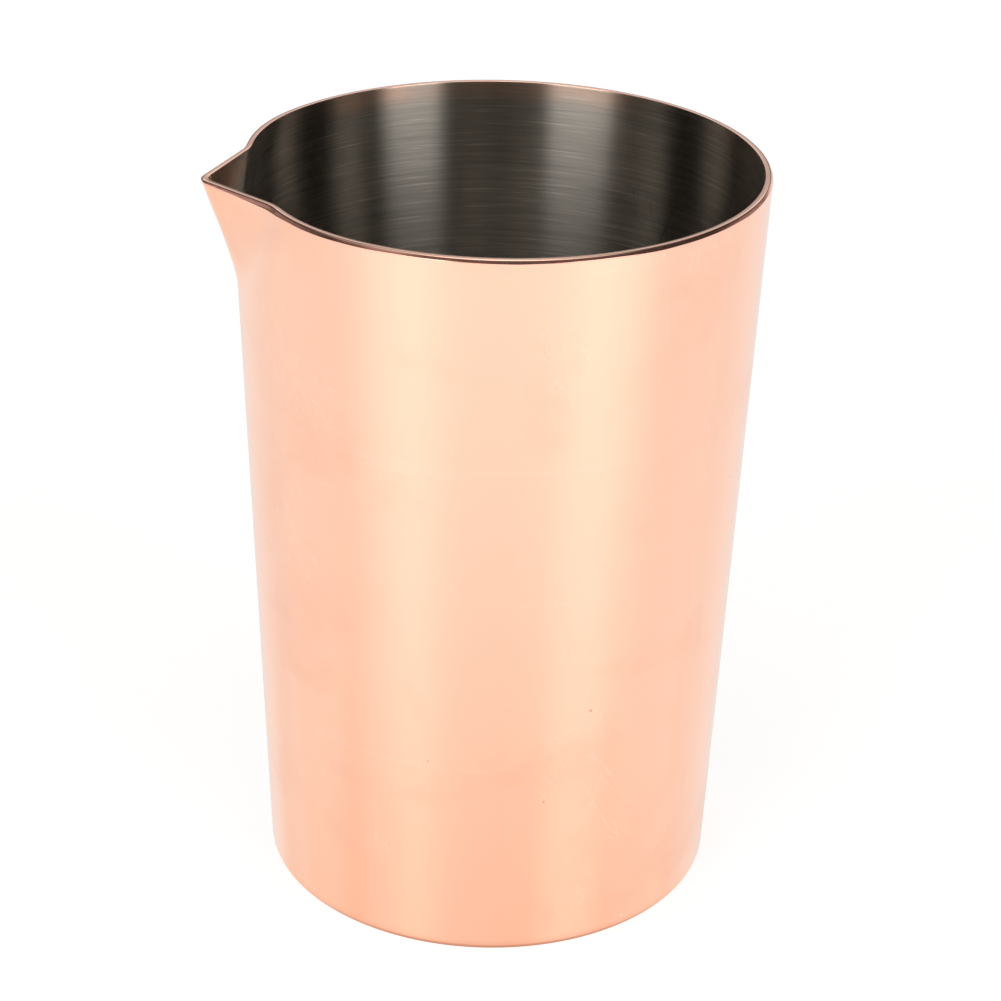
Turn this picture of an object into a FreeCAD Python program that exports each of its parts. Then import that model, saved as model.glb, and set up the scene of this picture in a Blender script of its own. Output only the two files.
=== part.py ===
"""Double-walled pouring jug: a tapered metal cup with a pinched spout.

Three sheet-metal pieces make it. The outer shell and the inner cup share one rim outline
and meet there; the base pan closes the shell's foot and is the face the jug stands on.
Millimetres, +Z up, origin on the jug's axis in the plane it stands on, spout towards -X.
"""
import FreeCAD, Part
import math
import os
import re
import Sketcher
from FreeCAD import Placement, Rotation, Vector

doc = FreeCAD.newDocument("Jug")

# ---------------------------------------------------------------- driving dimensions
SIZES = [
    ("height", 130.5, "table to rim"),
    ("rim_radius", 45.0, "outside of the shell at the rim, away from the spout"),
    ("base_radius", 40.0, "outside of the shell at the table, before its edge is rounded"),
    ("shell_sheet", 0.5, "thickness of the shell"),
    ("cup_sheet", 0.5, "thickness of the cup"),
    ("pan_sheet", 0.6, "thickness of the base pan"),
    ("air_gap", 2.5, "between cup and shell at the cup's foot; it closes to nothing at the rim"),
    ("cup_clearance", 5.0, "table to the underside of the cup"),
    ("cup_corner", 6.0, "inside radius between the cup's wall and floor"),
    ("edge_radius", 1.3, "outside radius of the shell's bottom edge"),
    ("lip_width", 5.0, "how far the shell turns in under the base"),
    ("pan_clearance", 0.2, "all round the base pan, in the shell and in the lip"),
    ("spout_depth", 19.0, "rim to the foot of the spout"),
    ("spout_reach", 5.2, "tip of the spout beyond the rim circle"),
    ("spout_half_angle", 56.0, "between the spout's middle and each flank"),
    ("nose_radius", 4.0, "outside radius of the tip"),
    ("throat_radius", 8.0, "hollow radius where each flank leaves the rim"),
    ("shoulder_radius", 36.0, "rim's own radius next to the spout, tighter than the circle"),
    ("shoulder_angle", 48.0, "where the rim leaves its circle, from the spout's middle"),
    ("foot_half_width", 3.0, "half the width of the crease at the spout's foot"),
]

sizes = doc.addObject("Spreadsheet::Sheet", "Sizes")
for row, (name, number, meaning) in enumerate(SIZES, start=1):
    sizes.set(f"A{row}", meaning)
    sizes.set(f"B{row}", str(number))
    sizes.setAlias(f"B{row}", name)
doc.recompute()


def formula(text):
    """A rule written with the sheet's names, as the expression that a property is bound to."""
    names = "|".join(name for name, _, _ in SIZES)
    return re.sub(rf"\b({names})\b", r"Sizes.\1", text)


def number(text):
    """What such a rule comes to now, for drawing a sketch in its right place."""
    return float(sizes.evalExpression(formula(text)))


# Radii on the straight tapers, measured where the spout begins.
SPOUT_FOOT = "(height - spout_depth)"
SHELL_AT_FOOT = f"(base_radius + (rim_radius - base_radius) * {SPOUT_FOOT} / height)"
CUP_BOTTOM = "(base_radius + (rim_radius - base_radius) * cup_clearance / height - shell_sheet - air_gap)"
CUP_AT_FOOT = (
    f"({CUP_BOTTOM} + (rim_radius - shell_sheet - {CUP_BOTTOM})"
    f" * ({SPOUT_FOOT} - cup_clearance) / (height - cup_clearance))"
)


# ---------------------------------------------------------------- sketching helpers
def origin_plane(body, role):
    return next(item for item in body.Origin.OriginFeatures if item.Role == role)


def new_body(label):
    """An empty body, turned so that its own +X, where the spout is drawn, faces -X."""
    body = doc.addObject("PartDesign::Body", label)
    body.Label = label
    body.Placement = Placement(Vector(0, 0, 0), Rotation(Vector(0, 0, 1), 180))
    return body


def new_sketch(body, name, role="XY_Plane", level=None):
    sketch = body.newObject("Sketcher::SketchObject", name)
    sketch.AttachmentSupport = [(origin_plane(body, role), "")]
    sketch.MapMode = "FlatFace"
    if level:
        sketch.setExpression("AttachmentOffset.Base.z", formula(level))
    return sketch


def dimension(sketch, name, constraint, text):
    """Add one driving dimension to a sketch and bind it to the sheet."""
    index = sketch.addConstraint(constraint)
    sketch.renameConstraint(index, name)
    sketch.setExpression(f"Constraints.{name}", formula(text))


def line(x1, y1, x2, y2):
    return Part.LineSegment(Vector(x1, y1, 0), Vector(x2, y2, 0))


def arc(x, y, radius, start, end):
    """An anticlockwise arc; angles in radians."""
    circle = Part.Circle(Vector(x, y, 0), Vector(0, 0, 1), radius)
    return Part.ArcOfCircle(circle, start, end)


# ---------------------------------------------------------------- sections of the spout
def draw_rim_outline(body, name, inset):
    """The rim from above, moved inward by inset: circle, shoulders, throats, flanks and tip.

    All eight edges meet tangentially, so one set of centres serves every inset.
    """
    join = math.radians(number("shoulder_angle"))
    half = math.radians(number("spout_half_angle"))
    main = number(f"rim_radius - {inset}")
    nose = number(f"nose_radius - {inset}")
    throat = number(f"throat_radius + {inset}")
    shoulder = number(f"shoulder_radius - {inset}")
    nose_x = number("rim_radius + spout_reach - nose_radius")

    shoulder_centre = Vector(math.cos(join), math.sin(join), 0) * (main - shoulder)
    across = Vector(math.sin(half), math.cos(half), 0)
    along = Vector(-math.cos(half), math.sin(half), 0)
    # The throat's centre lies a throat's radius outside the flank and outside the shoulder.
    beside_flank = across * (nose_x * math.sin(half) + nose + throat)
    gap = beside_flank - shoulder_centre
    reach = shoulder + throat
    step = -gap.dot(along) - math.sqrt(gap.dot(along) ** 2 - gap.dot(gap) + reach**2)
    throat_centre = beside_flank + along * step
    to_throat = throat_centre - shoulder_centre
    turn = math.atan2(to_throat.y, to_throat.x)
    tip = Vector(nose_x, 0, 0) + across * nose
    foot = throat_centre - across * throat
    opening = math.pi / 2 - half

    sketch = new_sketch(body, name, level="height")
    sketch.addGeometry(
        [
            arc(0, 0, main, join, 2 * math.pi - join),
            arc(shoulder_centre.x, -shoulder_centre.y, shoulder, -join, -turn),
            arc(throat_centre.x, -throat_centre.y, throat, math.pi - opening, math.pi - turn),
            line(foot.x, -foot.y, tip.x, -tip.y),
            arc(nose_x, 0, nose, -opening, opening),
            line(tip.x, tip.y, foot.x, foot.y),
            arc(throat_centre.x, throat_centre.y, throat, math.pi + turn, math.pi + opening),
            arc(shoulder_centre.x, shoulder_centre.y, shoulder, turn, join),
        ]
    )
    # Each joint is an edge, its end, the next edge, its end. The throats (2 and 6) bend the
    # other way from the rest, so they are met end first.
    joints = [(0, 2, 1, 1), (1, 2, 2, 2), (2, 1, 3, 1), (3, 2, 4, 1)]
    joints += [(4, 2, 5, 1), (5, 2, 6, 2), (6, 1, 7, 1), (7, 2, 0, 1)]
    for joint in joints:
        sketch.addConstraint(Sketcher.Constraint("Tangent", *joint))
    sketch.addConstraint(Sketcher.Constraint("Coincident", 0, 3, -1, 1))
    sketch.addConstraint(Sketcher.Constraint("PointOnObject", 4, 3, -1))

    rise = main * math.sin(join)
    join_rule = f"(rim_radius - {inset}) * sin(shoulder_angle * 1 deg)"
    for title, kind, ends, drawn, rule in [
        ("Main", "Radius", (0,), main, f"rim_radius - {inset}"),
        ("Nose", "Radius", (4,), nose, f"nose_radius - {inset}"),
        ("ThroatA", "Radius", (2,), throat, f"throat_radius + {inset}"),
        ("ThroatB", "Radius", (6,), throat, f"throat_radius + {inset}"),
        ("ShoulderA", "Radius", (1,), shoulder, f"shoulder_radius - {inset}"),
        ("ShoulderB", "Radius", (7,), shoulder, f"shoulder_radius - {inset}"),
        ("JoinA", "DistanceY", (0, 2, -1, 1), rise, join_rule),
        ("JoinB", "DistanceY", (-1, 1, 0, 1), rise, join_rule),
        ("NoseCentre", "DistanceX", (-1, 1, 4, 3), nose_x, "rim_radius + spout_reach - nose_radius"),
        ("FlankA", "Angle", (3,), half, "spout_half_angle * 1 deg"),
        ("FlankB", "Angle", (5,), math.pi - half, "180 deg - spout_half_angle * 1 deg"),
    ]:
        dimension(sketch, title, Sketcher.Constraint(kind, *ends, drawn), rule)
    return sketch


def draw_foot_outline(body, name, radius_rule):
    """The circle where the spout begins, cut into the rim outline's eight edges.

    The tip, the flanks and the throats run together here, in a crease a few millimetres wide.
    """
    radius = number(radius_rule)
    join = math.radians(number("shoulder_angle"))
    shares = {"Nose": 0.2, "Flank": 0.6, "Throat": 1.0}
    widths = {title: share * number("foot_half_width") for title, share in shares.items()}
    corners = [math.asin(width / radius) for width in widths.values()] + [join]
    angles = [join] + [2 * math.pi - corner for corner in reversed(corners)]
    angles += [2 * math.pi + corner for corner in corners]

    sketch = new_sketch(body, name, level=SPOUT_FOOT)
    for start, end in zip(angles, angles[1:]):
        sketch.addGeometry(arc(0, 0, radius, start, end))
    for edge in range(8):
        sketch.addConstraint(Sketcher.Constraint("Coincident", edge, 2, (edge + 1) % 8, 1))
    for edge in range(7):
        sketch.addConstraint(Sketcher.Constraint("Coincident", edge, 3, -1, 1))
    sketch.addConstraint(Sketcher.Constraint("Equal", 0, 7))
    dimension(sketch, "Main", Sketcher.Constraint("Radius", 0, radius), radius_rule)

    join_rule = f"{radius_rule} * sin(shoulder_angle * 1 deg)"
    heights = [("Shoulder", 1, 7, radius * math.sin(join), join_rule)]
    for step, (title, share) in enumerate(shares.items()):
        rule = f"{share} * foot_half_width"
        heights.append((title, 4 - step, 4 + step, widths[title], rule))
    for title, below, above, drawn, rule in heights:
        lower = Sketcher.Constraint("DistanceY", below, 1, -1, 1, drawn)
        upper = Sketcher.Constraint("DistanceY", -1, 1, above, 2, drawn)
        dimension(sketch, f"{title}A", lower, rule)
        dimension(sketch, f"{title}B", upper, rule)
    return sketch


def add_spout_wall(body, foot_radius, inset, wall):
    """Raise the wall from the spout's foot to the rim: a solid loft, then its hollow."""
    for kind, title, moved in [
        ("AdditiveLoft", "Outside", "0"),
        ("SubtractiveLoft", "Inside", wall),
    ]:
        foot = draw_foot_outline(body, f"{body.Label}{title}Foot", f"({foot_radius} - {moved})")
        rim = draw_rim_outline(body, f"{body.Label}{title}Rim", f"({inset} + {moved})")
        loft = body.newObject(f"PartDesign::{kind}", f"{body.Label}{title}Loft")
        loft.Profile = foot
        loft.Sections = [rim]
        loft.Ruled = True
        doc.recompute()


# ---------------------------------------------------------------- sheet metal below the spout
def revolve(body, sketch):
    feature = body.newObject("PartDesign::Revolution", f"{body.Label}Turned")
    feature.Profile = sketch
    feature.ReferenceAxis = (sketch, ["V_Axis"])
    feature.Angle = 360


def add_folded_sheet(body, bottom, start, corner, wall, virtual_corner, foot_radius):
    """Floor or lip, rounded corner and tapered wall of one sheet, up to the spout's foot.

    The outside of the wall aims at virtual_corner, where it would meet the floor's underside
    if the corner were sharp. Every argument is a rule.
    """
    level = number(SPOUT_FOOT)
    low = number(bottom)
    begin = number(start)
    thick = number(wall)
    outer = number(corner)
    inner = outer - thick
    top = number(foot_radius)
    lean = math.atan2(top - number(virtual_corner), level - low)

    def centre_of(radius, wall_radius):
        """Distance from the axis to a corner's centre, level with the outer corner's."""
        return wall_radius + (low + outer - level) * math.tan(lean) - radius / math.cos(lean)

    outer_x = centre_of(outer, top)
    inner_x = centre_of(inner, top - thick)
    towards_wall = Vector(math.cos(lean), -math.sin(lean), 0)
    outer_end = Vector(outer_x, low + outer, 0) + towards_wall * outer
    inner_end = Vector(inner_x, low + outer, 0) + towards_wall * inner

    sketch = new_sketch(body, f"{body.Label}Profile", "XZ_Plane")
    sketch.addGeometry(
        [
            line(begin, low, outer_x, low),
            arc(outer_x, low + outer, outer, -math.pi / 2, -lean),
            line(outer_end.x, outer_end.y, top, level),
            line(top, level, top - thick, level),
            line(top - thick, level, inner_end.x, inner_end.y),
            arc(inner_x, low + outer, inner, -math.pi / 2, -lean),
            line(inner_x, low + thick, begin, low + thick),
            line(begin, low + thick, begin, low),
        ]
    )
    for kind, ends in [
        ("Tangent", (0, 2, 1, 1)),
        ("Tangent", (1, 2, 2, 1)),
        ("Coincident", (2, 2, 3, 1)),
        ("Coincident", (3, 2, 4, 1)),
        ("Tangent", (4, 2, 5, 2)),
        ("Tangent", (5, 1, 6, 1)),
        ("Coincident", (6, 2, 7, 1)),
        ("Coincident", (7, 2, 0, 1)),
        ("Horizontal", (0,)),
        ("Horizontal", (3,)),
        ("Horizontal", (6,)),
        ("Vertical", (7,)),
        ("Parallel", (2, 4)),
    ]:
        sketch.addConstraint(Sketcher.Constraint(kind, *ends))
    lean_rule = f"atan(({foot_radius} - {virtual_corner}) / ({SPOUT_FOOT} - {bottom}))"
    for title, kind, ends, drawn, rule in [
        ("Bottom", "DistanceY", (-1, 1, 0, 1), low, bottom),
        ("Start", "DistanceX", (-1, 1, 0, 1), begin, start),
        ("FootRadius", "DistanceX", (-1, 1, 2, 2), top, foot_radius),
        ("FootLevel", "DistanceY", (-1, 1, 2, 2), level, SPOUT_FOOT),
        ("Lean", "Angle", (2,), math.pi / 2 - lean, f"90 deg - {lean_rule}"),
        ("OuterCorner", "Radius", (1,), outer, corner),
        ("InnerCorner", "Radius", (5,), inner, f"{corner} - {wall}"),
        ("Wall", "DistanceX", (3, 2, 3, 1), thick, wall),
        ("Floor", "DistanceY", (7, 2, 7, 1), thick, wall),
    ]:
        dimension(sketch, title, Sketcher.Constraint(kind, *ends, drawn), rule)
    revolve(body, sketch)


# ---------------------------------------------------------------- the three pieces
def make_outer_shell():
    body = new_body("outer_shell")
    lip = "(base_radius - lip_width)"
    add_folded_sheet(
        body, "0", lip, "edge_radius", "shell_sheet", "base_radius", SHELL_AT_FOOT
    )
    add_spout_wall(body, SHELL_AT_FOOT, "0", "shell_sheet")
    return body


def make_inner_cup():
    body = new_body("inner_cup")
    corner = "(cup_corner + cup_sheet)"
    add_folded_sheet(
        body, "cup_clearance", "0", corner, "cup_sheet", CUP_BOTTOM, CUP_AT_FOOT
    )
    add_spout_wall(body, CUP_AT_FOOT, "shell_sheet", "cup_sheet")
    return body


def make_base_pan():
    """A disc whose edge is stepped up, so that it sits on the lip with its middle flush."""
    body = new_body("base_pan")
    panel = "(base_radius - lip_width - pan_clearance)"
    flange = "(base_radius - edge_radius - pan_clearance)"
    web = f"({panel} - pan_sheet)"
    step = "shell_sheet"
    top = "(shell_sheet + pan_sheet)"
    corners = [
        ("0", "0"),
        (panel, "0"),
        (panel, step),
        (flange, step),
        (flange, top),
        (web, top),
        (web, "pan_sheet"),
        ("0", "pan_sheet"),
    ]
    sketch = new_sketch(body, "base_panProfile", "XZ_Plane")
    for (x1, y1), (x2, y2) in zip(corners, corners[1:] + corners[:1]):
        sketch.addGeometry(line(number(x1), number(y1), number(x2), number(y2)))
    for edge in range(len(corners)):
        following = (edge + 1) % len(corners)
        sketch.addConstraint(Sketcher.Constraint("Coincident", edge, 2, following, 1))
    for edge, (x, y) in enumerate(corners):
        across = Sketcher.Constraint("DistanceX", -1, 1, edge, 1, number(x))
        up = Sketcher.Constraint("DistanceY", -1, 1, edge, 1, number(y))
        dimension(sketch, f"X{edge}", across, x)
        dimension(sketch, f"Y{edge}", up, y)
    revolve(body, sketch)
    return body


pieces = [make_outer_shell(), make_inner_cup(), make_base_pan()]
doc.recompute()

# ---------------------------------------------------------------- checks, then one file a piece
failed = [
    item.Name
    for item in doc.Objects
    if {"Invalid", "Error"} & set(item.State)
]
if failed:
    raise SystemExit(f"these objects failed: {failed}")
for piece in pieces:
    if piece.Shape.isNull() or not piece.Shape.isValid() or len(piece.Shape.Solids) != 1:
        raise SystemExit(f"{piece.Label} is not one valid solid")

os.makedirs("parts", exist_ok=True)
for piece in pieces:
    piece.Shape.exportStep(f"parts/{piece.Label}.step")
    box = piece.Shape.BoundBox
    print(f"{piece.Label}: {piece.Shape.Volume / 1000:.2f} cm3, z {box.ZMin:.2f} to {box.ZMax:.2f}")
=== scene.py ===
# %% [markdown]
# # A double-walled frothing jug
# The jug is three pieces of sheet metal: a tapered outer shell with a pinched spout, an inner
# cup that follows the same rim, and a pan that closes the foot. There is no handle and nothing
# moves, so all the work goes into one exact shape and two metal finishes.
#
# The frame holds the sizes. Everything here is in metres, +Z up, with the spout towards -X.

# %% Load the frame
import math

import bmesh
import bpy
from mathutils import Matrix, Vector


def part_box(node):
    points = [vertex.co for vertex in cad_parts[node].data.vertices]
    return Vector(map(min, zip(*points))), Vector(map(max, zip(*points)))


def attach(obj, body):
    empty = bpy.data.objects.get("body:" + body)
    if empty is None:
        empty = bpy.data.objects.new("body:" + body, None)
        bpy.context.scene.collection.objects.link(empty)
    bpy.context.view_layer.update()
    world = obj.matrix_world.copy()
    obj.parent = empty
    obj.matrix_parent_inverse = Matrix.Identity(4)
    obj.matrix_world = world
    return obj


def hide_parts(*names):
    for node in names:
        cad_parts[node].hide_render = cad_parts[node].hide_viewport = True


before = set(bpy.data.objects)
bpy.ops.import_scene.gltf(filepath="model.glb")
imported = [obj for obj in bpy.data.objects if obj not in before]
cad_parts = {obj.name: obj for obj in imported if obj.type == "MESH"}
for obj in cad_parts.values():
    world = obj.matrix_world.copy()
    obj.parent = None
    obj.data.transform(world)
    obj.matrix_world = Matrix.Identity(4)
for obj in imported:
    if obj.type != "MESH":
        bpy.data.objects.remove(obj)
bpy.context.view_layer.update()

MM = 0.001
print("pieces in the frame:", sorted(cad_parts))

# %% [markdown]
# ## Sizes
# The boxes of the frame's own pieces give the height, the rim's radius and how far the spout
# reaches. The rest are the sheet-metal worker's sizes, which a box can't show: the sheet, the
# radii of the folds and the curves that lead into the spout.

# %% Read what the frame says, and name the rest
shell_low, shell_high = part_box("outer_shell")
cup_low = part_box("inner_cup")[0]
pan_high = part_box("base_pan")[1]

height = shell_high.z
rim_radius = shell_high.y
spout_reach = -shell_low.x - rim_radius
cup_underside = cup_low.z
flange_radius = pan_high.x
pan_top = pan_high.z

base_radius = 40 * MM
sheet = 0.5 * MM
pan_sheet = pan_top - sheet
air_gap = 2.5 * MM
edge_radius = 1.3 * MM
cup_corner = 6 * MM
lip_radius = 35 * MM
pan_clearance = 0.2 * MM
spout_depth = 19 * MM
print(f"height {height:.4f}, rim radius {rim_radius:.4f}, spout reach {spout_reach:.4f}")

# %% [markdown]
# ## Node trees written as sums
# Both the shape and the finishes are node trees with a lot of arithmetic in them. A `Reading`
# wraps one socket, so `1 - mask` or `radius * share` adds the Math nodes by itself. Any other
# node comes from `Bench.put`, which takes its type, its settings and its sockets.

# %% A socket that knows its sums
class Reading:
    def __init__(self, bench, socket):
        self.bench = bench
        self.socket = socket

    def output(self, name):
        return Reading(self.bench, self.socket.node.outputs[name])

    def __add__(self, other):
        return self.bench.maths("ADD", self, other)

    def __sub__(self, other):
        return self.bench.maths("SUBTRACT", self, other)

    def __mul__(self, other):
        return self.bench.maths("MULTIPLY", self, other)

    def __truediv__(self, other):
        return self.bench.maths("DIVIDE", self, other)

    def __pow__(self, other):
        return self.bench.maths("POWER", self, other)

    def __lt__(self, other):
        return self.bench.maths("LESS_THAN", self, other)

    def __gt__(self, other):
        return self.bench.maths("GREATER_THAN", self, other)

    def __rsub__(self, other):
        return self.bench.maths("SUBTRACT", other, self)

    def __rtruediv__(self, other):
        return self.bench.maths("DIVIDE", other, self)

    __radd__ = __add__
    __rmul__ = __mul__


# %% A bench that nodes are put on
class Bench:
    def __init__(self, tree):
        self.tree = tree

    def put(self, kind, settings=None, sockets=None, output=0):
        node = self.tree.nodes.new(kind)
        for name, value in (settings or {}).items():
            if name == "stops":
                self.set_stops(node.color_ramp, value)
            else:
                setattr(node, name, value)
        for name, value in (sockets or {}).items():
            if isinstance(value, Reading):
                self.tree.links.new(value.socket, node.inputs[name])
            else:
                node.inputs[name].default_value = value
        return Reading(self, node.outputs[output]) if node.outputs else node

    def split(self, vector):
        """The three parts of a vector."""
        parts = self.put("ShaderNodeSeparateXYZ", sockets={"Vector": vector})
        return parts, parts.output("Y"), parts.output("Z")

    def off_axis(self, east, north):
        """Distance from the jug's axis."""
        return self.maths("SQRT", east * east + north * north)

    def set_stops(self, ramp, stops):
        while len(ramp.elements) < len(stops):
            ramp.elements.new(0.5)
        for element, (place, colour) in zip(ramp.elements, stops):
            element.position = place
            element.color = colour

    def maths(self, operation, *values):
        return self.put("ShaderNodeMath", {"operation": operation}, dict(enumerate(values)))

    def clamp(self, value, low=0.0, high=1.0):
        return self.maths("MINIMUM", self.maths("MAXIMUM", value, low), high)

    def choose(self, mask, when_one, when_zero):
        """A value where the mask is 1, another where it is 0."""
        return when_zero + mask * (when_one - when_zero)

    def ease(self, value, start, end):
        """0 before start, 1 after end and a smooth step between."""
        sockets = {"Value": value, "From Min": start, "From Max": end}
        return self.put("ShaderNodeMapRange", {"interpolation_type": "SMOOTHSTEP"}, sockets)

    def hump(self, value, centre, width):
        """A bell of height 1 round centre."""
        offset = (value - centre) / width
        return self.maths("EXPONENT", offset * offset * -1.0)

    def mix_colour(self, mask, plain, other, blend="MIX"):
        settings = {"data_type": "RGBA", "blend_type": blend, "clamp_factor": True}
        sockets = {0: mask, 6: plain, 7: other}
        return self.put("ShaderNodeMix", settings, sockets, output=2)

# %% [markdown]
# ## The rim outline
# Seen from above, the rim is a circle that a punch has pinched out into a spout. Going round
# from the tip there is a small nose arc, a straight flank, a hollow throat, a shoulder that is
# tighter than the circle, and then the circle itself. All of them meet tangentially, so each
# arc's centre follows from its neighbours. The tree needs only the centres: moving the outline
# inward by the sheet's thickness changes the radii and leaves the centres where they are.

# %% Lay out the arcs of the spout
half_angle = math.radians(56)
nose_radius = 4 * MM
throat_radius = 11 * MM
shoulder_radius = 36 * MM
shoulder_angle = math.radians(48)

nose_centre = Vector((rim_radius + spout_reach - nose_radius, 0))
shoulder_centre = Vector((math.cos(shoulder_angle), math.sin(shoulder_angle)))
shoulder_centre *= rim_radius - shoulder_radius
across_flank = Vector((math.sin(half_angle), math.cos(half_angle)))
along_flank = Vector((-math.cos(half_angle), math.sin(half_angle)))

flank_distance = nose_centre.dot(across_flank) + nose_radius
beside_flank = across_flank * (flank_distance + throat_radius)
gap = beside_flank - shoulder_centre
root = gap.dot(along_flank) ** 2 - gap.dot(gap) + (shoulder_radius + throat_radius) ** 2
throat_centre = beside_flank + along_flank * (-gap.dot(along_flank) - math.sqrt(root))
throat_foot = throat_centre - across_flank * throat_radius
throat_foot_angle = math.atan2(throat_foot.y, throat_foot.x)
print("throat's foot, degrees from the spout:", round(math.degrees(throat_foot_angle), 1))

# %% [markdown]
# ## The wall as a rule
# A wall like this could be lofted by hand, but it follows a rule, so Geometry Nodes make it. The
# modifier's own mesh is only a profile: each of its points says how far in from the outside
# surface it lies (X), how much the hand-ground bevel lowers it (Y), and how high it is (Z).
# The tree lays a grid, takes one row per profile point, wraps each row round the axis and pulls
# it out into the spout. The spout fades towards its foot, and gets narrower more slowly than
# it gets shallow, which gives the soft valleys on each side of the real one's ridge.

# %% Name the tree's inputs
def add_inputs(tree, numbers):
    """A group interface with a mesh in, a mesh out, a finish and named sizes."""
    tree.interface.new_socket("Profile", in_out="INPUT", socket_type="NodeSocketGeometry")
    for name in numbers:
        whole = name.startswith("Points")
        kind = "NodeSocketInt" if whole else "NodeSocketFloat"
        tree.interface.new_socket(name, in_out="INPUT", socket_type=kind)
    tree.interface.new_socket("Finish", in_out="INPUT", socket_type="NodeSocketMaterial")
    tree.interface.new_socket("Wall", in_out="OUTPUT", socket_type="NodeSocketGeometry")


WALL_SIZES = {
    "Points Round": 560,
    "Crowding": 1.5,
    "Height": height,
    "Rim Radius": rim_radius,
    "Base Radius": base_radius,
    "Spout Depth": spout_depth,
    "Spout Softness": 0.2,
    "Spout Narrowing": 0.62,
    "Spout Blur": math.radians(7),
    "Flank Angle": math.pi / 2 - half_angle,
    "Flank Distance": flank_distance,
    "Nose X": nose_centre.x,
    "Nose Radius": nose_radius,
    "Throat X": throat_centre.x,
    "Throat Y": throat_centre.y,
    "Throat Radius": throat_radius,
    "Shoulder X": shoulder_centre.x,
    "Shoulder Y": shoulder_centre.y,
    "Shoulder Radius": shoulder_radius,
    "Shoulder Angle": shoulder_angle,
    "Bevel Narrow": 0.6 * MM,
    "Bevel Wide": 0.95 * MM,
    "Waviness": 0.05 * MM,
}

NOSE_MIN_RADIUS = 0.2 * MM
DEEPEST_OUTLINE = 3.5 * MM
MERGE_DISTANCE = 0.001 * MM
CREASE_ANGLE = math.radians(40)

# %% The outline's distance from the axis, for a direction and an inset
def arc_reach(bench, cosine, sine, centre_x, centre_y, radius, side):
    """Where a ray from the axis meets a circle, on its far side (1) or near side (-1)."""
    middle = cosine * centre_x + sine * centre_y
    inside = middle * middle + radius * radius - centre_x * centre_x - centre_y * centre_y
    return middle + bench.maths("SQRT", bench.maths("MAXIMUM", inside, 0.0)) * side


def outline_reach(bench, size, turn, inset):
    """Distance from the axis to the rim outline, moved inward by inset."""
    cosine = bench.maths("COSINE", turn)
    sine = bench.maths("SINE", turn)
    nose = bench.maths("MAXIMUM", size["Nose Radius"] - inset, NOSE_MIN_RADIUS)
    throat = size["Throat Radius"] + inset
    shoulder = size["Shoulder Radius"] - inset
    circle = size["Rim Radius"] - inset
    flank_cosine = bench.maths("COSINE", size["Flank Angle"])
    flank_sine = bench.maths("SINE", size["Flank Angle"])

    on_nose = arc_reach(bench, cosine, sine, size["Nose X"], 0.0, nose, 1)
    on_flank = (size["Flank Distance"] - inset) / bench.maths("COSINE", turn - size["Flank Angle"])
    on_throat = arc_reach(bench, cosine, sine, size["Throat X"], size["Throat Y"], throat, -1)
    on_shoulder = arc_reach(
        bench, cosine, sine, size["Shoulder X"], size["Shoulder Y"], shoulder, 1
    )

    nose_end = bench.maths("ARCTAN2", nose * flank_sine, size["Nose X"] + nose * flank_cosine)
    flank_end = bench.maths(
        "ARCTAN2",
        size["Throat Y"] - throat * flank_sine,
        size["Throat X"] - throat * flank_cosine,
    )
    run_x = size["Shoulder X"] - size["Throat X"]
    run_y = size["Shoulder Y"] - size["Throat Y"]
    share = throat / (throat + shoulder)
    throat_end = bench.maths(
        "ARCTAN2", size["Throat Y"] + run_y * share, size["Throat X"] + run_x * share
    )

    reach = bench.choose(turn < size["Shoulder Angle"], on_shoulder, circle)
    reach = bench.choose(turn < throat_end, on_throat, reach)
    reach = bench.choose(turn < flank_end, on_flank, reach)
    return bench.choose(turn < nose_end, on_nose, reach)


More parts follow.
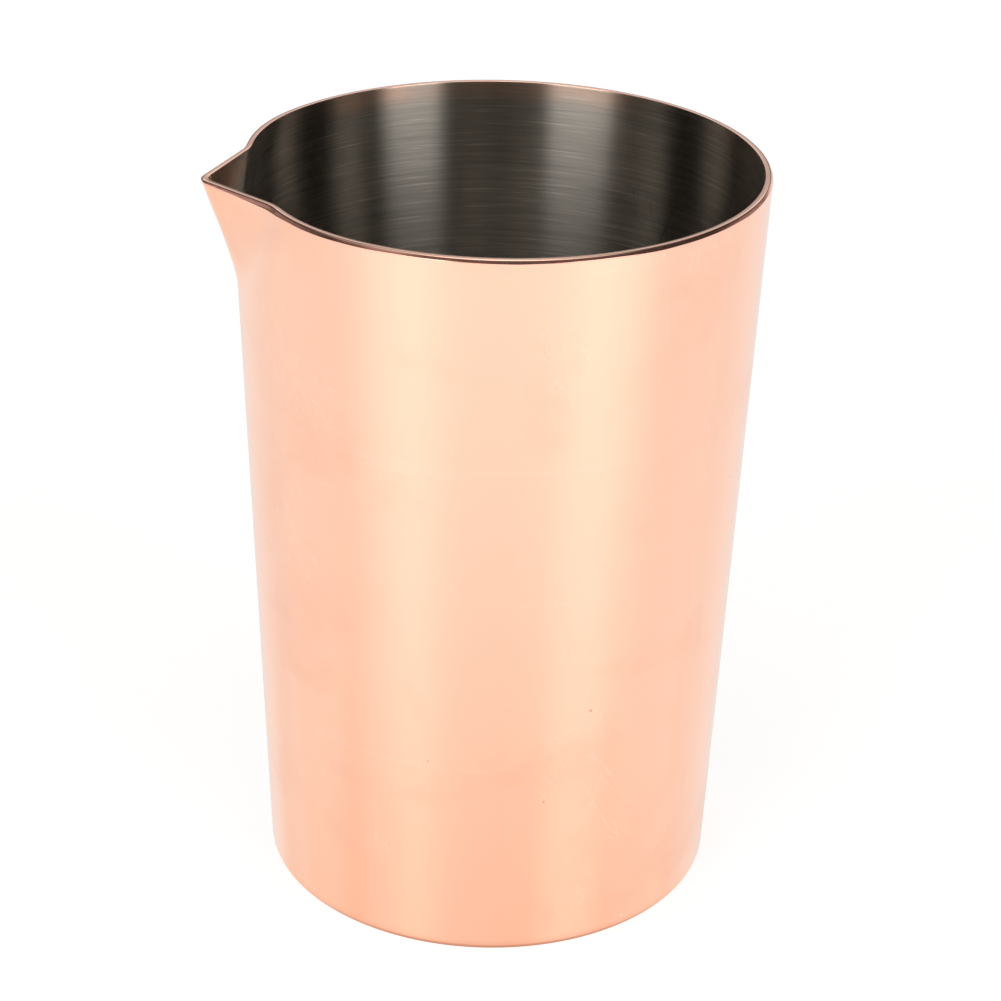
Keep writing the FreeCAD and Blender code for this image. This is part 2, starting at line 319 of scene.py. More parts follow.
# %% Build the tree
def build_wall_tree():
    tree = bpy.data.node_groups.new("Pinched wall", "GeometryNodeTree")
    add_inputs(tree, WALL_SIZES)
    bench = Bench(tree)
    profile = bench.put("NodeGroupInput", output="Profile")
    size = {name: profile.output(name) for name in WALL_SIZES}

    position = bench.put("GeometryNodeInputPosition")
    rows = bench.put(
        "GeometryNodeAttributeDomainSize",
        {"component": "MESH"},
        {"Geometry": profile},
        output="Point Count",
    )
    grid = bench.put(
        "GeometryNodeMeshGrid",
        sockets={"Vertices X": size["Points Round"], "Vertices Y": rows},
        output="Mesh",
    )
    column, line, _ = bench.split(position)
    row = (line + 0.5) * (rows - 1.0)
    station = bench.put(
        "GeometryNodeSampleIndex",
        {"data_type": "FLOAT_VECTOR", "domain": "POINT"},
        {"Geometry": profile, "Value": position, "Index": bench.maths("ROUND", row)},
        output="Value",
    )
    inset, bevel_share, level = bench.split(station)

    # Round the axis: rows have more points near the spout, where the outline turns fastest.
    side = column * 2.0
    turn = bench.maths("ABSOLUTE", side) ** size["Crowding"] * math.pi
    angle = turn * bench.maths("SIGN", side)

    # A hand-held wheel grinds the rim. It takes more off in the two throats, and less at the tip.
    cosine = bench.maths("COSINE", angle)
    sine = bench.maths("SINE", angle)
    around = bench.put("ShaderNodeCombineXYZ", sockets={0: cosine, 1: sine, 2: level * 20.0})
    wobble = bench.put(
        "ShaderNodeTexNoise", sockets={"Vector": around, "Scale": 4.0, "Detail": 1.0}
    )
    in_throat = bench.hump(turn, throat_foot_angle + math.radians(2), math.radians(6.5))
    at_tip = bench.hump(turn, 0.0, math.radians(10))
    bevel = size["Bevel Narrow"] * (0.5 + wobble) * (1.0 - at_tip * 0.65)
    bevel = bevel + in_throat * (size["Bevel Wide"] - size["Bevel Narrow"])
    level = level - bevel * bevel_share

    # Up the spout: 0 below its foot, 1 at the rim, with a soft start.
    climb = (level - size["Height"]) / size["Spout Depth"] + 1.0
    softness = size["Spout Softness"]
    start = bench.clamp(climb + softness, 0.0, softness * 2.0)
    spout = start * start / (softness * 4.0) + bench.maths("MAXIMUM", climb - softness, 0.0)
    spout = bench.clamp(spout)
    narrowing = bench.maths("MAXIMUM", spout, 1e-6) ** size["Spout Narrowing"]

    # The outline is taken a little to each side as well, further apart towards the spout's foot,
    # and averaged, so that the folds fade out. Deeper than the wall is thick, it moves no more.
    taper = (size["Rim Radius"] - size["Base Radius"]) / size["Height"]
    nominal = size["Base Radius"] + taper * level
    shallow = bench.maths("MINIMUM", inset, DEEPEST_OUTLINE)
    scaled = turn / narrowing
    blur = size["Spout Blur"] * (1.0 - spout)
    before = outline_reach(bench, size, bench.maths("ABSOLUTE", scaled - blur), shallow)
    here = outline_reach(bench, size, scaled, shallow)
    after = outline_reach(bench, size, scaled + blur, shallow)
    pulled = (before + here * 2.0 + after) * 0.25
    reach = nominal - inset + spout * (pulled - size["Rim Radius"] + shallow)

    # No sheet comes off the press perfectly round. The waves only go inward, so that the
    # wall stays inside its box.
    swell = bench.put(
        "ShaderNodeTexNoise",
        sockets={"Vector": around, "Scale": 0.9, "Detail": 1.0, "Roughness": 0.4},
    )
    away_from_axis = bench.ease(reach, 5 * MM, 30 * MM)
    reach = reach - swell * size["Waviness"] * away_from_axis

    sockets = {0: reach * cosine * -1.0, 1: reach * sine * -1.0, 2: level}
    wrapped = bench.put(
        "GeometryNodeSetPosition",
        sockets={"Geometry": grid, "Position": bench.put("ShaderNodeCombineXYZ", sockets=sockets)},
    )
    closed = bench.put(
        "GeometryNodeMergeByDistance", sockets={"Geometry": wrapped, "Distance": MERGE_DISTANCE}
    )
    smooth = bench.put("GeometryNodeSetShadeSmooth", sockets={"Geometry": closed})
    fold = bench.put("GeometryNodeInputMeshEdgeAngle") > CREASE_ANGLE
    creased = bench.put(
        "GeometryNodeSetShadeSmooth",
        {"domain": "EDGE"},
        {"Geometry": smooth, "Selection": fold, "Shade Smooth": False},
    )
    real = bench.put("GeometryNodeRealizeInstances", sockets={"Geometry": creased})
    finished = bench.put(
        "GeometryNodeSetMaterial",
        sockets={"Geometry": real, "Material": profile.output("Finish")},
    )
    bench.put("NodeGroupOutput", sockets={"Wall": finished})
    return tree


wall_tree = build_wall_tree()
print("nodes in the wall tree:", len(wall_tree.nodes))

# %% [markdown]
# ## Profiles
# A profile is drawn as a loop of points, the way a spinner would draw a section through the
# sheet. Long straight runs need few points, the bends need many, and the spout zone needs one
# every half millimetre because the outline changes all the way up.

# %% Points of a section
taper = (rim_radius - base_radius) / height


def nominal_radius(level):
    """Outside of the shell below the spout."""
    return base_radius + taper * level


def at_radius(radius, level):
    """A profile point given by its distance from the axis."""
    return (nominal_radius(level) - radius, 0.0, level)


def steps(start, end, pitch):
    """Evenly spaced values from start to end, both included."""
    count = max(1, math.ceil(abs(end - start) / pitch))
    return [start + (end - start) * step / count for step in range(count + 1)]


def bend(centre_radius, centre_level, radius, start, end, pieces=8):
    """A rounded corner of a section; angles in radians, 0 outward and a quarter turn up."""
    points = []
    for turned in steps(start, end, abs(end - start) / pieces):
        across = centre_radius + radius * math.cos(turned)
        points.append(at_radius(across, centre_level + radius * math.sin(turned)))
    return points


def spout_levels(low, pitch_below):
    """Levels for a wall that rises from low to the rim."""
    foot = height - spout_depth - 4 * MM
    return steps(low, foot, pitch_below)[:-1] + steps(foot, height, 0.5 * MM)


# %% [markdown]
# ## Outer shell
# The shell is copper-plated on the outside. Its foot turns in under the base in a small
# radius, and its top edge is ground round by hand, flatter in the throats of the spout, where
# the wheel reaches further down.

# %% Shell profile
QUARTER = math.pi / 2
bevel_reach = 3 * MM
lean = math.atan(taper)


def ground_edge(bevel_tilt=38, bevel_length=0.46 * MM, radius=0.36 * MM):
    """Inset and bevel share along the ground edge: a flat bevel rounded into the top.

    The walk is a list of tilts from upright, in degrees, and lengths.
    """
    walk = [(tilt, 0.02 * MM) for tilt in (10, 24)]
    walk += [(bevel_tilt, bevel_length / 3)] * 3
    walk += [(tilt, radius * math.radians(6.5)) for tilt in range(bevel_tilt + 3, 90, 6)]
    places = [(0.0, 0.0)]
    for tilt, length in walk:
        inward, rise = math.sin(math.radians(tilt)), math.cos(math.radians(tilt))
        places.append((places[-1][0] + length * inward, places[-1][1] + length * rise))
    return [(inset, 1 - rise / places[-1][1]) for inset, rise in places]


def split_edge(places, inset):
    """The part of the ground edge on the outer sheet, and the part on the inner one."""
    outer = [place for place in places if place[0] < inset]
    inner = [place for place in places if place[0] > inset]
    (x1, y1), (x2, y2) = outer[-1], inner[0]
    seam = (inset, y1 + (y2 - y1) * (inset - x1) / (x2 - x1))
    return outer + [seam], [seam] + inner


shell_edge, cup_edge = split_edge(ground_edge(), sheet)
corner_radius = nominal_radius(edge_radius) - edge_radius / math.cos(lean)
inside_radius = edge_radius - sheet
inside_corner = nominal_radius(edge_radius) - sheet - inside_radius / math.cos(lean)

shell_profile = [at_radius(r, 0.0) for r in steps(lip_radius, corner_radius, 1 * MM)[:-1]]
shell_profile += bend(corner_radius, edge_radius, edge_radius, -QUARTER, -lean, 10)
for level in spout_levels(edge_radius + 1 * MM, 3 * MM)[:-1]:
    share = max(0.0, 1 - (height - level) / bevel_reach)
    shell_profile.append((0.0, share, level))
shell_profile += [(inset, share, height) for inset, share in shell_edge]
for level in reversed(spout_levels(edge_radius + 1 * MM, 6 * MM)[:-1:2]):
    shell_profile.append((sheet, 0.0, level))
shell_profile += bend(inside_corner, edge_radius, inside_radius, -lean, -QUARTER, 5)
shell_profile += [at_radius(lip_radius, sheet), at_radius(lip_radius, 0.0)]
print("points in the shell's profile:", len(shell_profile))

# %% [markdown]
# ## Inner cup
# The cup is drawn from one sheet of steel. It meets the shell only at the rim and leans away
# from it below, which leaves the air gap that keeps the hand cool. The weld that joins the two
# sheets thickens the rim a little inward, and that fades out down the wall. The floor runs into
# the wall in a wide radius, so that milk turns over without a corner to catch in.

# %% Cup profile
def cup_inset(level):
    """How far inside the shell's surface the cup's own outside lies."""
    return sheet + air_gap * (height - level) / (height - cup_underside)


inner_round = 0.12 * MM
rim_bead = 0.35 * MM
bead_reach = 16 * MM
cup_taper = taper + air_gap / (height - cup_underside)
cup_lean = math.atan(cup_taper)
corner_level = cup_underside + cup_corner + sheet
wall_at_corner = nominal_radius(corner_level) - cup_inset(corner_level)
floor_radius = wall_at_corner - (cup_corner + sheet) / math.cos(cup_lean)
inner_floor_radius = wall_at_corner - sheet - cup_corner / math.cos(cup_lean)
above_corner = corner_level + 1 * MM

cup_profile = [at_radius(r, cup_underside) for r in steps(0.0, floor_radius, 6 * MM)[:-1]]
cup_profile += bend(floor_radius, corner_level, cup_corner + sheet, -QUARTER, -cup_lean, 6)
for level in spout_levels(above_corner, 6 * MM)[:-1:2]:
    cup_profile.append((cup_inset(level), 0.0, level))
cup_profile += [(inset, share, height) for inset, share in cup_edge]
for turned in steps(0.0, QUARTER, QUARTER / 6):
    drop = inner_round * (1 - math.cos(turned))
    across = sheet * 2 + rim_bead - inner_round * (1 - math.sin(turned))
    cup_profile.append((across, 0.0, height - drop))
for level in reversed(spout_levels(above_corner, 3 * MM)[:-1]):
    bead = rim_bead * max(0.0, 1 - (height - level) / bead_reach) ** 2
    cup_profile.append((cup_inset(level) + sheet + bead, 0.0, level))
cup_profile += bend(inner_floor_radius, corner_level, cup_corner, -cup_lean, -QUARTER, 12)
floor_top = cup_underside + sheet
cup_profile += [at_radius(r, floor_top) for r in steps(inner_floor_radius, 0.0, 2 * MM)[1:]]
print("points in the cup's profile:", len(cup_profile))

# %% [markdown]
# ## Base pan
# The pan is a pressed disc with a stepped edge: the middle lies flush with the table and the
# step lets its flange sit on the shell's turned-in lip. The press leaves a small radius at
# every fold.

# %% Pan profile
panel_radius = lip_radius - pan_clearance
web_radius = panel_radius - pan_sheet
fold = 0.2 * MM

pan_profile = [at_radius(r, 0.0) for r in steps(0.0, panel_radius - fold, 3 * MM)[:-1]]
pan_profile += bend(panel_radius - fold, fold, fold, -QUARTER, 0.0, 4)
pan_profile += [at_radius(panel_radius, sheet), at_radius(flange_radius, sheet)]
pan_profile += bend(flange_radius - fold, pan_top - fold, fold, 0.0, QUARTER, 4)
pan_profile += bend(web_radius + fold, pan_top - fold, fold, QUARTER, math.pi, 4)
pan_profile += [at_radius(r, pan_sheet) for r in steps(web_radius, 0.0, 3 * MM)]
print("points in the pan's profile:", len(pan_profile))

# %% [markdown]
# ## From profile to piece
# Each piece gets its own modifier, the sizes are set on it by socket identifier, and the
# evaluated mesh becomes the piece's real mesh. A last pass turns every face outward, which a
# wrapped grid doesn't promise.

# %% Apply the tree to a profile
def set_inputs(modifier, tree, values):
    for item in tree.interface.items_tree:
        if item.item_type == "SOCKET" and item.in_out == "INPUT" and item.name in values:
            modifier[item.identifier] = values[item.name]


def raise_wall(name, profile, finish, changes=None):
    """Make one piece from its section; changes are sizes other than WALL_SIZES."""
    section = bpy.data.meshes.new(f"{name} section")
    section.from_pydata(profile, [], [])
    piece = bpy.data.objects.new(name, section)
    bpy.context.scene.collection.objects.link(piece)
    modifier = piece.modifiers.new("Pinched wall", "NODES")
    modifier.node_group = wall_tree
    set_inputs(modifier, wall_tree, {**WALL_SIZES, **(changes or {}), "Finish": finish})

    seen = piece.evaluated_get(bpy.context.evaluated_depsgraph_get())
    mesh = bpy.data.meshes.new_from_object(seen)
    mesh.name = name
    piece.modifiers.remove(modifier)
    piece.data = mesh
    bpy.data.meshes.remove(section)

    shaper = bmesh.new()
    shaper.from_mesh(mesh)
    bmesh.ops.recalc_face_normals(shaper, faces=shaper.faces)
    open_edges = sum(1 for edge in shaper.edges if not edge.is_manifold)
    triangles = sum(len(face.verts) - 2 for face in shaper.faces)
    volume = shaper.calc_volume() * 1e6
    shaper.to_mesh(mesh)
    shaper.free()
    print(f"{name}: {triangles} triangles, {open_edges} open edges, {volume:.2f} cm3")
    return piece

# %% [markdown]
# ## Finishes
# Both metals are smooth enough to be mirrors, so what they show is the studio round them. What
# makes them metal and not chrome paint is the small wear: cloudy smudges where hands and cloths
# have been, faint polishing lines round the body, a few specks and scratches.
#
# A line that runs round a turned part needs no texture coordinates of its own. Noise squeezed
# to almost nothing across, and kept fine in height, runs round by itself and has no seam.

# %% Helpers that both finishes use
def new_finish(name):
    """An empty material and its bench; the shader is added by finish_with."""
    material = bpy.data.materials.new(name)
    material.use_nodes = True
    material.node_tree.nodes.clear()
    return material, Bench(material.node_tree)


def bumped(bench, relief, strength, distance):
    """A surface normal pushed about by a relief."""
    sockets = {"Height": relief, "Strength": strength, "Distance": distance}
    return bench.put("ShaderNodeBump", sockets=sockets)


def finish_with(bench, constants, sockets):
    """Close a metal with one Principled shader: constants stay on the shader itself."""
    shader = bench.put("ShaderNodeBsdfPrincipled", sockets={**constants, **sockets})
    bench.put("ShaderNodeOutputMaterial", sockets={"Surface": shader})


def object_place(bench):
    return bench.put("ShaderNodeTexCoord", output="Object")


def stretched(bench, place, across, along):
    """The place with its plan and its height scaled apart."""
    sockets = {0: place, 1: (across, across, along)}
    return bench.put("ShaderNodeVectorMath", {"operation": "MULTIPLY"}, sockets)


def noise(bench, place, scale, detail=2.0, roughness=0.5, distortion=0.0):
    sockets = {
        "Vector": place,
        "Scale": scale,
        "Detail": detail,
        "Roughness": roughness,
        "Distortion": distortion,
    }
    return bench.put("ShaderNodeTexNoise", sockets=sockets)


def scratches(bench, place, tilt, scale, fineness):
    """A few long thin lines: a narrow band of a stretched noise, broken up by a wider one."""
    turned = bench.put("ShaderNodeMapping", sockets={"Vector": place, "Rotation": tilt})
    drawn_out = stretched(bench, turned, scale, scale * 0.04)
    off_middle = bench.maths("ABSOLUTE", noise(bench, drawn_out, 1.0) - 0.5)
    line = 1.0 - bench.ease(off_middle, 0, fineness)
    return line * bench.ease(noise(bench, place, 38.0, 1.0), 0.56, 0.64)


def specks(bench, place, scale, size, share):
    """Scattered dots: the middles of a few cells out of many."""
    sockets = {"Vector": place, "Scale": scale}
    cell = bench.put("ShaderNodeTexVoronoi", {"feature": "F1"}, sockets, "Distance")
    chance = bench.put("ShaderNodeSeparateColor", sockets={"Color": cell.output("Color")})
    return (1.0 - bench.ease(cell, size * 0.5, size)) * (chance < share)


# %% [markdown]
# ## Copper plate
# Plated copper is thin and bright. It keeps a soft pink-orange colour, slightly deeper where it
# has been handled, and goes dull in patches rather than all over. The pattern feeds colour,
# roughness and a bump of a few microns. The ground bevel under the rim is partly non-metallic,
# most of all towards the spout and opposite it: its lit diffuse colour there is painted
# reflection, standing in for a reflection that the studio doesn't give the bevel.

# %% Copper finish
copper, bench = new_finish("Polished copper plate")
place = object_place(bench)
east, north, up = bench.split(place)

cloud = bench.ease(noise(bench, place, 42.0, 3.0, 0.55, 0.4), 0.50, 0.76)
smear = bench.ease(noise(bench, stretched(bench, place, 26.0, 60.0), 1.0, 3.0, 0.6), 0.54, 0.78)
handled = bench.clamp(cloud * 0.6 + smear * 0.5)
polish = noise(bench, stretched(bench, place, 18.0, 900.0), 1.0, 3.0, 0.6)
deep_lines = bench.ease(noise(bench, stretched(bench, place, 12.0, 420.0), 1.0, 2.0), 0.66, 0.74)
hairs = scratches(bench, place, (0.5, 0.15, 0.3), 420.0, 0.010)
hairs = bench.clamp(hairs + scratches(bench, place, (-0.25, 0.6, 1.1), 300.0, 0.008))
dots = specks(bench, place, 190.0, 0.09, 0.16)
dark_dots = specks(bench, place, 260.0, 0.10, 0.05)

# The ground edge: its top and its bevel. Painted reflection: a little all round, and most towards
# the spout and opposite it, the bevel gets a non-metallic share whose lit colour stands in for
# reflected light.
ground = bench.ease(up, height - 0.22 * MM, height - 0.08 * MM)
bevelled = bench.ease(up, height - 0.80 * MM, height - 0.50 * MM)
painted_reflection_sides = bench.ease(bench.maths("ABSOLUTE", east + 4 * MM), 29 * MM, 40 * MM)
painted_reflection_sides = painted_reflection_sides * (1.0 - bench.ease(noise(bench, place, 260.0, 2.0), 0.60, 0.66) * 0.6)
painted_reflection_share = bevelled * (1.0 - ground) * (0.045 + painted_reflection_sides * 0.40)

colour = bench.mix_colour(handled, (0.985, 0.600, 0.445, 1), (0.960, 0.545, 0.395, 1))
colour = bench.mix_colour(deep_lines * 0.12, colour, (0.99, 0.66, 0.51, 1))
colour = bench.mix_colour(hairs * 0.35, colour, (1.0, 0.74, 0.62, 1))
colour = bench.mix_colour(dots * 0.5, colour, (1.0, 0.76, 0.64, 1))
colour = bench.mix_colour(dark_dots * 0.55, colour, (0.55, 0.25, 0.17, 1))
colour = bench.mix_colour(bevelled * 0.8, colour, (0.95, 0.46, 0.36, 1))
colour = bench.mix_colour(ground * 0.8, colour, (0.99, 0.63, 0.50, 1))
gloss = 0.14 + handled * 0.09 + polish * 0.05 + dots * 0.2 + hairs * 0.08 - ground * 0.06

relief = polish * 0.5 + deep_lines * 0.4 + hairs * -0.5 + dots * 0.6
bump = bumped(bench, relief, 0.12, 0.02 * MM)
# Painted reflection: Metallic is lowered on the bevel by the share above.
finish_with(
    bench,
    {},
    {"Base Color": colour, "Metallic": 1.0 - painted_reflection_share, "Roughness": gloss, "Normal": bump},
)
print("copper nodes:", len(copper.node_tree.nodes))

# %% [markdown]
# ## Brushed steel
# The cup is brushed on a lathe, so its fine grooves run round it. Grooves that run round spread
# every reflection up and down, into the two tall bright bands that steel cups always show. The
# shader's anisotropy does that: with no tangent given it takes the one round the Z axis, and a
# quarter turn lays the spread upright.
#
# The plating wraps over the rim and fades out a few millimetres down the inside, further in the
# spout, where it pooled. The grooves follow the section: their noise is read by height up the
# wall and by distance from the axis across the floor, which gives the floor its rings.

# %% Steel finish
steel, bench = new_finish("Brushed steel")
place = object_place(bench)
east, north, up = bench.split(place)
along_section = up + bench.maths("MINIMUM", bench.off_axis(east, north), 36 * MM)
groove_place = bench.put("ShaderNodeCombineXYZ", sockets={0: east, 1: north, 2: along_section})
fine = noise(bench, stretched(bench, groove_place, 90.0, 3400.0), 1.0, 2.0, 0.6)
broad = noise(bench, stretched(bench, groove_place, 45.0, 1500.0), 1.0, 1.0, 0.5)
patch = noise(bench, place, 34.0, 2.0)
brushed = bench.clamp((fine * 0.6 + broad * 0.4 - 0.5) * 1.8 + 0.5)
bright_grooves = bench.ease(fine, 0.60, 0.72)

drop = height - up
in_spout = bench.ease(0.0 - east, rim_radius - 3 * MM, rim_radius + 2 * MM)
fade = 2.2 * MM + patch * 2.2 * MM + in_spout * 9 * MM
plated = 1.0 - bench.ease(drop, fade * 0.25, fade + 1.5 * MM)
patchy = bench.ease(patch, 0.45, 0.65) * 0.5 + 0.05 + in_spout * 0.9
plated = bench.clamp(plated * patchy)
edge = 1.0 - bench.ease(drop, 0.03 * MM, 0.12 * MM)

bare = bench.mix_colour(brushed, (0.33, 0.305, 0.275, 1), (0.60, 0.565, 0.51, 1))
bare = bench.mix_colour(bright_grooves * 0.5, bare, (0.80, 0.755, 0.69, 1))
colour = bench.mix_colour(plated, bare, (0.93, 0.58, 0.43, 1))
colour = bench.mix_colour(edge * 0.9, colour, (0.99, 0.63, 0.50, 1))
gloss = 0.25 + patch * 0.06 - edge * 0.17
bump = bumped(bench, brushed, 0.03, 0.02 * MM)
finish_with(
    bench,
    {"Metallic": 1.0, "Anisotropic": 0.95, "Anisotropic Rotation": 0.25},
    {"Base Color": colour, "Roughness": gloss, "Normal": bump},
)
print("steel nodes:", len(steel.node_tree.nodes))

# %% [markdown]
# ## Base copper
# The pan is the same plate, but nobody polishes it: it keeps the lathe's rings, which run round
# the axis at an even pitch, and it is scuffed where the jug has been pushed about on a table.

# %% Base finish
underside, bench = new_finish("Turned copper base")
place = object_place(bench)
east, north, up = bench.split(place)
ring_pitch = 0.7 * MM
wander = noise(bench, place, 60.0, 2.0) * 0.5
phase = bench.off_axis(east, north) * (math.tau / ring_pitch) + wander
rings = bench.maths("SINE", phase) * 0.5 + 0.5
scuffs = scratches(bench, place, (0.0, 1.4, 0.4), 260.0, 0.02)
dull = bench.ease(noise(bench, place, 70.0, 3.0), 0.45, 0.7)
colour = bench.mix_colour(dull, (0.94, 0.60, 0.46, 1), (0.80, 0.47, 0.35, 1))
colour = bench.mix_colour(scuffs * 0.5, colour, (0.99, 0.74, 0.62, 1))
gloss = 0.22 + dull * 0.14 + rings * 0.06
bump = bumped(bench, rings + scuffs * -0.6, 0.3, 0.03 * MM)
finish_with(
    bench,
    {"Metallic": 1.0},
    {"Base Color": colour, "Roughness": gloss, "Normal": bump},
)
print("base nodes:", len(underside.node_tree.nodes))

# %% [markdown]
# ## Make the three pieces
# Every piece stands in for a CAD node, which is hidden, and rides on the one body.

# %% Raise, ride and replace
shell = raise_wall("shell_wall", shell_profile, copper)
cup = raise_wall("cup_wall", cup_profile, steel)
pan_sizes = {"Points Round": 240, "Crowding": 1.0}
pan = raise_wall("base_disc", pan_profile, underside, pan_sizes)

for piece, node, slot in [
    (shell, "outer_shell", "copper_plate"),
    (cup, "inner_cup", "brushed_steel"),
    (pan, "base_pan", "copper_plate"),
]:
    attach(piece, "root")
    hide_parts(node)

# %% [markdown]
# ## The studio
# A mirror-bright part is lit by giving it something to reflect. The world is that studio: a
# white table all round below the horizon, a dark room behind the camera with two tall strip
# lights, and a pale wall at the far side. The strips make the bright bands inside the cup, and
# their reflections on the table make the soft bands on the body. The camera itself sees plain
# white wherever it looks past the floor.
#
# Bearings run from the camera's own, in degrees, to the right. Elevations run from the horizon.

# %% Bearings and elevations
CAMERA_TURN = math.radians(-13.2)
towards_camera = Vector((math.sin(CAMERA_TURN), -math.cos(CAMERA_TURN), 0))

world = bpy.data.worlds.new("Studio")
bpy.context.scene.world = world
world.use_nodes = True
world.node_tree.nodes.clear()
bench = Bench(world.node_tree)

direction = bench.put("ShaderNodeTexCoord", output="Generated")
east, north, up = bench.split(direction)
ahead = east * towards_camera.x + north * towards_camera.y
right_hand = east * -towards_camera.y + north * towards_camera.x
bearing = bench.maths("ARCTAN2", right_hand, ahead)


def band(degrees, width):
    """A soft upright band."""
    return bench.hump(bearing, math.radians(degrees), math.radians(width))


def panel(low, high, soft):
    """An upright light with softened sides, from one bearing to another."""
    low, high, soft = math.radians(low), math.radians(high), math.radians(soft)
    return bench.ease(bearing, low - soft, low + soft) * (
        1.0 - bench.ease(bearing, high - soft, high + soft)
    )


def elevation(degrees):
    """How high an elevation is on the unit sphere."""
    return math.sin(math.radians(degrees))


# %% [markdown]
# The table takes a little colour from the jug that stands on it, so it is warmest straight down
# and white from 35 degrees below the horizon upwards. It is brightest in front, and the strips
# leave soft ridges of light on it.

# %% The table, below the horizon
TABLE_COLOURS = [
    (0.000, (0.62, 0.44, 0.38, 1)),
    (0.120, (0.84, 0.64, 0.56, 1)),
    (0.165, (0.96, 0.80, 0.72, 1)),
    (0.182, (1.00, 0.88, 0.80, 1)),
    (0.193, (1.00, 0.88, 0.79, 1)),
    (0.212, (1.00, 0.99, 0.98, 1)),
    (0.500, (1.00, 1.00, 1.00, 1)),
]
table = bench.put("ShaderNodeValToRGB", {"stops": TABLE_COLOURS}, {0: up * 0.5 + 0.5})
well_below = 1.0 - bench.ease(up, elevation(-36), elevation(-28))
mottle = bench.ease(noise(bench, direction, 2.4, 2.0, 0.5, 0.6), 0.46, 0.66) * well_below
table = bench.mix_colour(mottle * 0.5, table, (1.00, 0.86, 0.76, 1), "MULTIPLY")
near_side = bench.ease(up, elevation(-38), elevation(-24))
plateau = panel(-63, 68, 13) * near_side * 0.20
ridges = (band(-38, 15) + band(43, 18)) * 0.17 + (band(-143, 14) + band(140, 14)) * 0.08
ridges = ridges * bench.ease(up, elevation(-60), elevation(-40))
behind = 1.0 - panel(-125, 125, 22)
table_light = 1.04 - behind * 0.12 + plateau + ridges

# %% [markdown]
# The room has two strips in front and two weak ones behind, a ceiling light that is strongest
# in front and behind, a faint glow under the ceiling for the bevel of the rim, and the far wall,
# which only the flat top of the rim looks at.

# %% The room, above the horizon
STRIP_LIGHT = 4.2
CEILING_LIGHT = 1.9
FAR_WALL_LIGHT = 1.05

strips = panel(29, 55, 3) + panel(-50, -21, 3)
far_strips = panel(140, 158, 4) + panel(-158, -140, 4)
strip_height = 1.0 - bench.ease(up, elevation(30), elevation(42))
lengthwise = panel(-60, 62, 10) + 1.0 - panel(-150, 150, 12)
ceiling = bench.ease(up, elevation(58), elevation(66)) * (0.4 + lengthwise * 0.6)
under_ceiling = bench.hump(up, elevation(53), 0.12)
left_glow = panel(-118, -48, 12) * under_ceiling
far_wall = bench.hump(up, elevation(26), 0.13) * (1.0 - panel(-150, 150, 10))

front = 0.006 + panel(-20, 20, 6) * 0.03 + under_ceiling * 0.05
front = front + strips * strip_height * STRIP_LIGHT
back = 0.02 + far_strips * strip_height * 0.12 + under_ceiling * 0.12
back = back + far_wall * FAR_WALL_LIGHT
frontness = bench.ease(bench.maths("COSINE", bearing), -0.35, 0.35)
room = bench.choose(frontness, front, back) + ceiling * CEILING_LIGHT + left_glow * 0.45

# %% Join them at the horizon
upness = bench.ease(up, -0.03, 0.05)

below = bench.put("ShaderNodeBackground", sockets={"Color": table, "Strength": table_light})
lamp_colour = (1, 0.97, 0.94, 1)
above = bench.put("ShaderNodeBackground", sockets={"Color": lamp_colour, "Strength": room})
studio = bench.put("ShaderNodeMixShader", sockets={0: upness, 1: below, 2: above})
plain = bench.put("ShaderNodeBackground", sockets={"Color": (1, 1, 1, 1), "Strength": 1.0})
seen = bench.put("ShaderNodeLightPath", output="Is Camera Ray")
shown = bench.put("ShaderNodeMixShader", sockets={0: seen, 1: studio, 2: plain})
bench.put("ShaderNodeOutputWorld", sockets={"Surface": shown})
print("world nodes:", len(world.node_tree.nodes))

# %% [markdown]
# ## Floor
# The floor is a large pale disc. It is lit softly, so that a contact shadow gathers under the
# jug, and it turns into plain white further out, where it meets the white world without a
# horizon. The metal doesn't mirror it, because the world's lower half already is the table.

# %% Floor disc
FLOOR_RADIUS = 3.0
LIT_RADIUS = 0.06
WHITE_RADIUS = 0.30
floor_mesh = bpy.data.meshes.new("Floor")
shaper = bmesh.new()
bmesh.ops.create_circle(shaper, cap_ends=True, segments=128, radius=FLOOR_RADIUS)
shaper.to_mesh(floor_mesh)
shaper.free()
floor = bpy.data.objects.new("Floor", floor_mesh)
bpy.context.scene.collection.objects.link(floor)
floor.visible_glossy = False

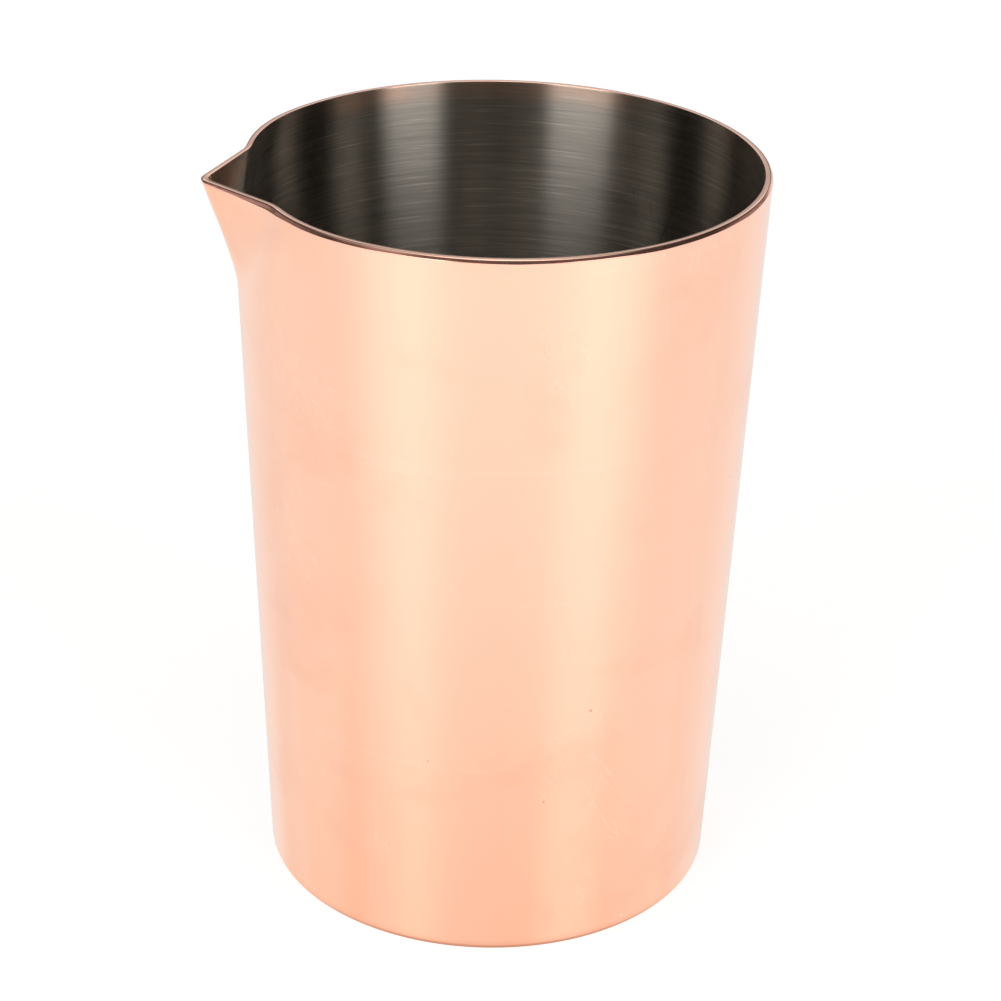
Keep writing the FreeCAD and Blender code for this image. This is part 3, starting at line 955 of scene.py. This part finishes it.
paper, bench = new_finish("Studio paper")
east, north, up = bench.split(object_place(bench))
spread = bench.ease(bench.off_axis(east, north), LIT_RADIUS, WHITE_RADIUS)
matt = bench.put("ShaderNodeBsdfDiffuse", sockets={"Color": (0.34, 0.34, 0.34, 1)})
glow = bench.put("ShaderNodeEmission", sockets={"Color": (1, 1, 1, 1), "Strength": 0.82})
near = bench.put("ShaderNodeAddShader", sockets={0: matt, 1: glow})
white = bench.put("ShaderNodeEmission", sockets={"Color": (1, 1, 1, 1), "Strength": 1.0})
surface = bench.put("ShaderNodeMixShader", sockets={0: spread, 1: near, 2: white})
bench.put("ShaderNodeOutputMaterial", sockets={"Surface": surface})
floor.data.materials.append(paper)

# %% [markdown]
# ## Camera
# The view looks down on the jug from about 26 degrees, from nearly half a metre away, so the
# rim is an open ellipse and the body's taper is exaggerated a little.

# %% Camera
VIEW_DISTANCE = 430 * MM
VIEW_HEIGHT = 281 * MM
VIEW_PITCH = math.radians(26.38)
VIEW_YAW = math.radians(0.145)
VIEW_ROLL = math.radians(1.38)

forward = Vector(
    (
        math.sin(VIEW_YAW) * math.cos(VIEW_PITCH),
        math.cos(VIEW_YAW) * math.cos(VIEW_PITCH),
        -math.sin(VIEW_PITCH),
    )
)
right = Vector((math.cos(VIEW_YAW), -math.sin(VIEW_YAW), 0))
upward = right.cross(forward)
across = right * math.cos(VIEW_ROLL) + upward * math.sin(VIEW_ROLL)
along = upward * math.cos(VIEW_ROLL) - right * math.sin(VIEW_ROLL)

camera_data = bpy.data.cameras.new("Camera")
camera_data.sensor_width = 36
camera_data.lens = 97.9
camera_data.clip_start = 0.01
camera_data.clip_end = 20
camera = bpy.data.objects.new("Camera", camera_data)
bpy.context.scene.collection.objects.link(camera)
pose = Matrix((across, along, -forward)).transposed().to_4x4()
pose.translation = Vector((0, -VIEW_DISTANCE, VIEW_HEIGHT))
camera.matrix_world = Matrix.Rotation(CAMERA_TURN, 4, "Z") @ pose
bpy.context.scene.camera = camera
bpy.context.scene.view_settings.view_transform = "Standard"
